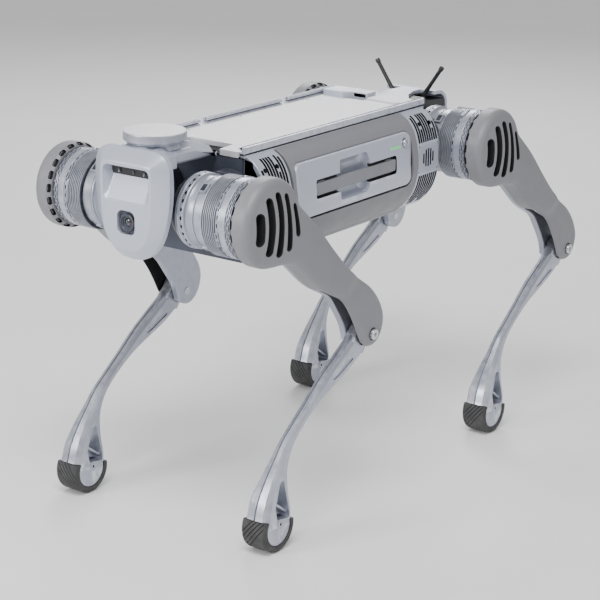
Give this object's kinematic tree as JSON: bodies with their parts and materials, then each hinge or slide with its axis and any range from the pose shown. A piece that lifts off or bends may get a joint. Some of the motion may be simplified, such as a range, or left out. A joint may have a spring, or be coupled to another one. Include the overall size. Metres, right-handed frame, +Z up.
{
  "type": "quadruped robot",
  "caption": "Four-legged walking robot with a long flat-topped trunk, jointed legs, a shield-shaped sensor head and a slide-out side battery.",
  "frame": {"origin": "on the floor under the middle of the standing robot", "axes": "+X forwards towards the head, +Y the robot's left, +Z up"},
  "size_m": [1.0473, 0.45, 0.6558],
  "materials": {
    "silver": "bead-blasted and clear anodised, slightly bluish silver",
    "silver_shell": "silver paint on moulded plastic, satin",
    "battery_case": "silver paint on moulded plastic, satin",
    "warm_grey": "fine-textured warm grey, matte",
    "deck_white": "pale grey, satin",
    "fairing_grey": "grey, matte, with black slots",
    "handle_grey": "grey, satin",
    "dark_metal": "black anodised",
    "motor_metal": "black anodised motor can",
    "circuit_board": "solder mask",
    "black_plastic": "black, satin",
    "dark_lens": "dark window, glossy",
    "rubber": "dark grey moulded rubber",
    "bolt_steel": "turned steel"
  },
  "bodies": {
    "trunk": {"chassis": "dark_metal", "deck_plate": "deck_white", "deck_rail_left": "silver_shell", "deck_rail_right": "silver_shell", "side_cowl_left": "warm_grey", "side_cowl_right": "warm_grey", "belly_pan": "warm_grey", "controller_board": "circuit_board", "head_shell": "silver_shell", "depth_camera": "dark_lens", "front_camera": "black_plastic", "sensor_puck": "deck_white", "neck_bracket": "silver_shell", "tail_cover": "silver_shell", "rear_bay_lid": "silver_shell", "hip_fairing_front_left": "fairing_grey", "roll_motor_front_left": "motor_metal", "hip_fairing_rear_left": "fairing_grey", "roll_motor_rear_left": "motor_metal", "hip_fairing_front_right": "fairing_grey", "roll_motor_front_right": "motor_metal", "hip_fairing_rear_right": "fairing_grey", "roll_motor_rear_right": "motor_metal"},
    "battery": {"battery_pack": "battery_case", "battery_handle": "handle_grey"},
    "power_button": {"power_button": "silver"},
    "antenna_left": {"antenna_left": "black_plastic"},
    "hip_front_left": {"hip_barrel_front_left": "silver"},
    "thigh_front_left": {"thigh_cover_front_left": "warm_grey", "thigh_frame_front_left": "silver", "knee_bolt_front_left": "bolt_steel"},
    "calf_front_left": {"calf_link_front_left": "silver", "foot_pad_front_left": "rubber"},
    "crank_front_left": {"knee_crank_front_left": "dark_metal"},
    "rod_front_left": {"push_rod_front_left": "dark_metal"},
    "hip_rear_left": {"hip_barrel_rear_left": "silver"},
    "thigh_rear_left": {"thigh_cover_rear_left": "warm_grey", "thigh_frame_rear_left": "silver", "knee_bolt_rear_left": "bolt_steel"},
    "calf_rear_left": {"calf_link_rear_left": "silver", "foot_pad_rear_left": "rubber"},
    "crank_rear_left": {"knee_crank_rear_left": "dark_metal"},
    "rod_rear_left": {"push_rod_rear_left": "dark_metal"},
    "antenna_right": {"antenna_right": "black_plastic"},
    "hip_front_right": {"hip_barrel_front_right": "silver"},
    "thigh_front_right": {"thigh_cover_front_right": "warm_grey", "thigh_frame_front_right": "silver", "knee_bolt_front_right": "bolt_steel"},
    "calf_front_right": {"calf_link_front_right": "silver", "foot_pad_front_right": "rubber"},
    "crank_front_right": {"knee_crank_front_right": "dark_metal"},
    "rod_front_right": {"push_rod_front_right": "dark_metal"},
    "hip_rear_right": {"hip_barrel_rear_right": "silver"},
    "thigh_rear_right": {"thigh_cover_rear_right": "warm_grey", "thigh_frame_rear_right": "silver", "knee_bolt_rear_right": "bolt_steel"},
    "calf_rear_right": {"calf_link_rear_right": "silver", "foot_pad_rear_right": "rubber"},
    "crank_rear_right": {"knee_crank_rear_right": "dark_metal"},
    "rod_rear_right": {"push_rod_rear_right": "dark_metal"}
  },
  "joints": [
    {"name": "battery_slide", "type": "slide", "parent": "trunk", "child": "battery", "axis": [0, 1, 0], "range_m": [0, 0.25]},
    {"name": "power_button_press", "type": "slide", "parent": "battery", "child": "power_button", "axis": [0, -1, 0], "range_m": [0, 0.0012], "stiffness_N_per_m": 1500},
    {"name": "antenna_left_tilt", "type": "hinge", "parent": "trunk", "child": "antenna_left", "pos_m": [-0.2538, 0.032, 0.598], "axis": [-1, 0, 0], "range_deg": [-30, 12]},
    {"name": "hip_roll_front_left", "type": "hinge", "parent": "trunk", "child": "hip_front_left", "pos_m": [0.4317, 0.072, 0.53], "axis": [1, 0, 0], "range_deg": [-35, 50]},
    {"name": "hip_pitch_front_left", "type": "hinge", "parent": "hip_front_left", "child": "thigh_front_left", "pos_m": [0.4317, 0.195, 0.53], "axis": [0, 1, 0], "range_deg": [-100, 220]},
    {"name": "knee_front_left", "type": "hinge", "parent": "thigh_front_left", "child": "calf_front_left", "pos_m": [0.17283, 0.195, 0.29445], "axis": [0, 1, 0], "range_deg": [-60, 67]},
    {"name": "knee_crank_pivot_front_left", "type": "hinge", "parent": "thigh_front_left", "child": "crank_front_left", "pos_m": [0.4317, 0.187, 0.53], "axis": [0, 1, 0], "range_deg": [-60, 67]},
    {"name": "push_rod_pivot_front_left", "type": "hinge", "parent": "crank_front_left", "child": "rod_front_left", "pos_m": [0.41867, 0.195, 0.56141], "axis": [0, 1, 0], "range_deg": [-67, 60]},
    {"name": "hip_roll_rear_left", "type": "hinge", "parent": "trunk", "child": "hip_rear_left", "pos_m": [-0.2253, 0.072, 0.53], "axis": [1, 0, 0], "range_deg": [-35, 50]},
    {"name": "hip_pitch_rear_left", "type": "hinge", "parent": "hip_rear_left", "child": "thigh_rear_left", "pos_m": [-0.2253, 0.195, 0.53], "axis": [0, 1, 0], "range_deg": [-40, 220]},
    {"name": "knee_rear_left", "type": "hinge", "parent": "thigh_rear_left", "child": "calf_rear_left", "pos_m": [-0.48417, 0.195, 0.29445], "axis": [0, 1, 0], "range_deg": [-60, 67]},
    {"name": "knee_crank_pivot_rear_left", "type": "hinge", "parent": "thigh_rear_left", "child": "crank_rear_left", "pos_m": [-0.2253, 0.187, 0.53], "axis": [0, 1, 0], "range_deg": [-60, 67]},
    {"name": "push_rod_pivot_rear_left", "type": "hinge", "parent": "crank_rear_left", "child": "rod_rear_left", "pos_m": [-0.23833, 0.195, 0.56141], "axis": [0, 1, 0], "range_deg": [-67, 60]},
    {"name": "antenna_right_tilt", "type": "hinge", "parent": "trunk", "child": "antenna_right", "pos_m": [-0.2538, -0.032, 0.598], "axis": [1, 0, 0], "range_deg": [-30, 12]},
    {"name": "hip_roll_front_right", "type": "hinge", "parent": "trunk", "child": "hip_front_right", "pos_m": [0.4317, -0.072, 0.53], "axis": [1, 0, 0], "range_deg": [-50, 35]},
    {"name": "hip_pitch_front_right", "type": "hinge", "parent": "hip_front_right", "child": "thigh_front_right", "pos_m": [0.4317, -0.195, 0.53], "axis": [0, 1, 0], "range_deg": [-100, 220]},
    {"name": "knee_front_right", "type": "hinge", "parent": "thigh_front_right", "child": "calf_front_right", "pos_m": [0.17283, -0.195, 0.29445], "axis": [0, 1, 0], "range_deg": [-60, 67]},
    {"name": "knee_crank_pivot_front_right", "type": "hinge", "parent": "thigh_front_right", "child": "crank_front_right", "pos_m": [0.4317, -0.187, 0.53], "axis": [0, 1, 0], "range_deg": [-60, 67]},
    {"name": "push_rod_pivot_front_right", "type": "hinge", "parent": "crank_front_right", "child": "rod_front_right", "pos_m": [0.41867, -0.195, 0.56141], "axis": [0, 1, 0], "range_deg": [-67, 60]},
    {"name": "hip_roll_rear_right", "type": "hinge", "parent": "trunk", "child": "hip_rear_right", "pos_m": [-0.2253, -0.072, 0.53], "axis": [1, 0, 0], "range_deg": [-50, 35]},
    {"name": "hip_pitch_rear_right", "type": "hinge", "parent": "hip_rear_right", "child": "thigh_rear_right", "pos_m": [-0.2253, -0.195, 0.53], "axis": [0, 1, 0], "range_deg": [-40, 220]},
    {"name": "knee_rear_right", "type": "hinge", "parent": "thigh_rear_right", "child": "calf_rear_right", "pos_m": [-0.48417, -0.195, 0.29445], "axis": [0, 1, 0], "range_deg": [-60, 67]},
    {"name": "knee_crank_pivot_rear_right", "type": "hinge", "parent": "thigh_rear_right", "child": "crank_rear_right", "pos_m": [-0.2253, -0.187, 0.53], "axis": [0, 1, 0], "range_deg": [-60, 67]},
    {"name": "push_rod_pivot_rear_right", "type": "hinge", "parent": "crank_rear_right", "child": "rod_rear_right", "pos_m": [-0.23833, -0.195, 0.56141], "axis": [0, 1, 0], "range_deg": [-67, 60]}
  ],
  "couplings": [
    {"joint": "knee_crank_pivot_front_left", "follows": "knee_front_left", "ratio": 1},
    {"joint": "push_rod_pivot_front_left", "follows": "knee_front_left", "ratio": -1},
    {"joint": "knee_crank_pivot_rear_left", "follows": "knee_rear_left", "ratio": 1},
    {"joint": "push_rod_pivot_rear_left", "follows": "knee_rear_left", "ratio": -1},
    {"joint": "knee_crank_pivot_front_right", "follows": "knee_front_right", "ratio": 1},
    {"joint": "push_rod_pivot_front_right", "follows": "knee_front_right", "ratio": -1},
    {"joint": "knee_crank_pivot_rear_right", "follows": "knee_rear_right", "ratio": 1},
    {"joint": "push_rod_pivot_rear_right", "follows": "knee_rear_right", "ratio": -1}
  ]
}
